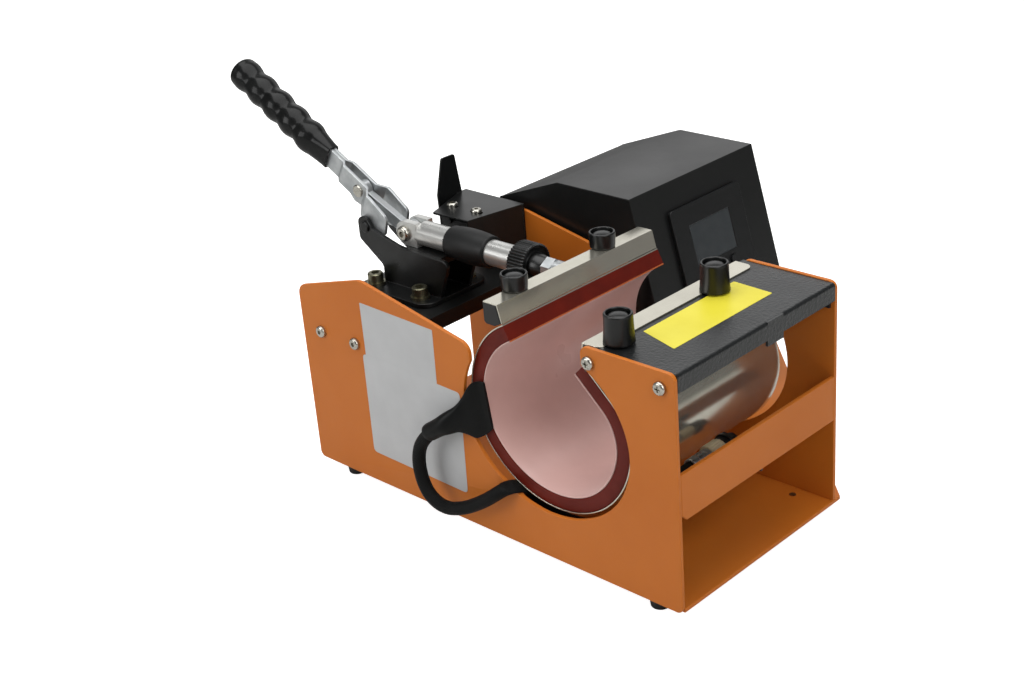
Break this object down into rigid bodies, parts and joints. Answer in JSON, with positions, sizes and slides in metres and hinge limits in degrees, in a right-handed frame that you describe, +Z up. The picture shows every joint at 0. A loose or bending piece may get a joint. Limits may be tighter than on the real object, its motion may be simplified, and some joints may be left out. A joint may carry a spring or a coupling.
{
  "type": "mug heat press",
  "caption": "Bench heat press for mugs: a C-shaped silicone heater in a folded steel frame, closed by a push-pull toggle clamp, with a controller box.",
  "frame": {"origin": "on the ground under the middle of the whole press at rest, handle included, lead left out", "axes": "+X from the open clamp handle to the black cover, +Y from the near side wall with the lead to the control box, +Z up"},
  "size_m": [0.4295, 0.3227, 0.2385],
  "materials": {
    "orange_paint": "satin powder coat",
    "black_paint": "fine textured powder coat",
    "zinc": "bright zinc plating",
    "polished_steel": "polished sheet",
    "screws": "plated screws",
    "silicone": "red brown silicone",
    "heater_skin": "smooth coated inner skin",
    "vinyl": "dipped vinyl grip",
    "black_rubber": "soft black rubber",
    "black_plastic": "moulded knobs",
    "braid": "braided sleeving",
    "dark_plastic": "matt moulded plastic",
    "screen": "dark display window",
    "key_rubber": "grey keys",
    "board": "green circuit board",
    "brass": "turned spacers"
  },
  "bodies": {
    "frame": {"base_plate": "orange_paint", "near_wall": "orange_paint", "far_wall": "orange_paint", "cross_strip": "orange_paint", "rubber_feet": "black_rubber", "foot_screws": "screws", "clamp_carrier": "black_paint", "carrier_screws": "screws", "clamp_base": "black_paint", "clamp_bolts": "screws", "handle_pins": "zinc", "cover_plate": "black_paint", "cover_screws": "screws", "cover_strap": "polished_steel", "cover_studs": "screws", "heater_liner": "heater_skin", "heater_pad": "silicone", "heater_band": "polished_steel", "heater_sheath": "black_rubber", "heater_lead": "braid", "lead_plug": "polished_steel", "lead_socket": "polished_steel", "socket_brace": "black_paint", "switch_bracket": "black_paint", "limit_switch": "dark_plastic", "switch_screws": "screws", "control_box_shell": "black_paint", "display_panel": "dark_plastic", "display_screen": "screen", "rear_panel": "black_paint", "mains_inlet": "dark_plastic", "fuse_holder": "dark_plastic", "power_switch": "dark_plastic", "controller_board": "board", "board_spacers": "brass", "power_supply": "dark_plastic", "heater_relay": "dark_plastic"},
    "handle": {"lever_plate_near": "zinc", "lever_plate_far": "zinc", "lever_rivets": "zinc", "handle_grip": "vinyl"},
    "link": {"toggle_link": "zinc"},
    "plunger": {"plunger_rod": "zinc", "plunger_bolt": "screws", "rubber_sleeve": "black_rubber", "spindle": "zinc", "spindle_nut": "zinc", "moving_bar": "black_paint", "bar_strap": "polished_steel", "bar_studs": "screws"},
    "pressure_knob": {"pressure_knob": "black_plastic"},
    "bar_knob_near": {"bar_knob_near": "black_plastic"},
    "bar_knob_far": {"bar_knob_far": "black_plastic"},
    "cover_knob_near": {"cover_knob_near": "black_plastic"},
    "cover_knob_far": {"cover_knob_far": "black_plastic"},
    "key_down": {"key_down": "key_rubber"},
    "key_mode": {"key_mode": "key_rubber"},
    "key_up": {"key_up": "key_rubber"},
    "limit_switch_button": {"limit_switch_button": "dark_plastic"},
    "power_rocker": {"power_rocker": "dark_plastic"}
  },
  "joints": [
    {"name": "handle_pivot", "type": "hinge", "parent": "frame", "child": "handle", "pos_m": [-0.08518, -0.0787, 0.1495], "axis": [0, 1, 0], "range_deg": [0, 124.96]},
    {"name": "plunger_slide", "type": "slide", "parent": "frame", "child": "plunger", "axis": [1, 0, 0], "range_m": [0, 0.04101], "deforming": ["heater_liner", "heater_pad", "heater_band"]},
    {"name": "link_pivot", "type": "hinge", "parent": "plunger", "child": "link", "pos_m": [-0.05468, -0.0787, 0.1495], "axis": [0, 1, 0], "range_deg": [-23.66, 0]},
    {"name": "pressure_knob_turn", "type": "hinge", "parent": "plunger", "child": "pressure_knob", "pos_m": [0.03932, -0.0787, 0.1495], "axis": [1, 0, 0], "continuous": true},
    {"name": "bar_knob_near_turn", "type": "hinge", "parent": "plunger", "child": "bar_knob_near", "pos_m": [0.07792, -0.1237, 0.1565], "axis": [0, 0, 1], "continuous": true},
    {"name": "bar_knob_far_turn", "type": "hinge", "parent": "plunger", "child": "bar_knob_far", "pos_m": [0.07792, -0.0477, 0.1565], "axis": [0, 0, 1], "continuous": true},
    {"name": "cover_knob_near_turn", "type": "hinge", "parent": "frame", "child": "cover_knob_near", "pos_m": [0.16582, -0.1367, 0.1519], "axis": [0, 0, 1], "continuous": true},
    {"name": "cover_knob_far_turn", "type": "hinge", "parent": "frame", "child": "cover_knob_far", "pos_m": [0.16582, -0.0542, 0.1519], "axis": [0, 0, 1], "continuous": true},
    {"name": "key_down_press", "type": "slide", "parent": "frame", "child": "key_down", "axis": [-0.9659, 0, -0.2587], "range_m": [0, 0.0008], "stiffness_N_per_m": 300, "springref_m": -0.001},
    {"name": "key_mode_press", "type": "slide", "parent": "frame", "child": "key_mode", "axis": [-0.9659, 0, -0.2587], "range_m": [0, 0.0008], "stiffness_N_per_m": 300, "springref_m": -0.001},
    {"name": "key_up_press", "type": "slide", "parent": "frame", "child": "key_up", "axis": [-0.9659, 0, -0.2587], "range_m": [0, 0.0008], "stiffness_N_per_m": 300, "springref_m": -0.001},
    {"name": "limit_switch_press", "type": "slide", "parent": "frame", "child": "limit_switch_button", "axis": [0, 1, 0], "range_m": [0, 0.0012], "stiffness_N_per_m": 300, "springref_m": -0.001},
    {"name": "power_rocker_tilt", "type": "hinge", "parent": "frame", "child": "power_rocker", "pos_m": [-0.04768, 0.0843, 0.0545], "axis": [0, 1, 0], "range_deg": [0, 16]}
  ],
  "couplings": [
    {"joint": "plunger_slide", "follows": "handle_pivot", "m_per_rad": 0.018798},
    {"joint": "link_pivot", "follows": "handle_pivot", "ratio": -0.18928}
  ]
}
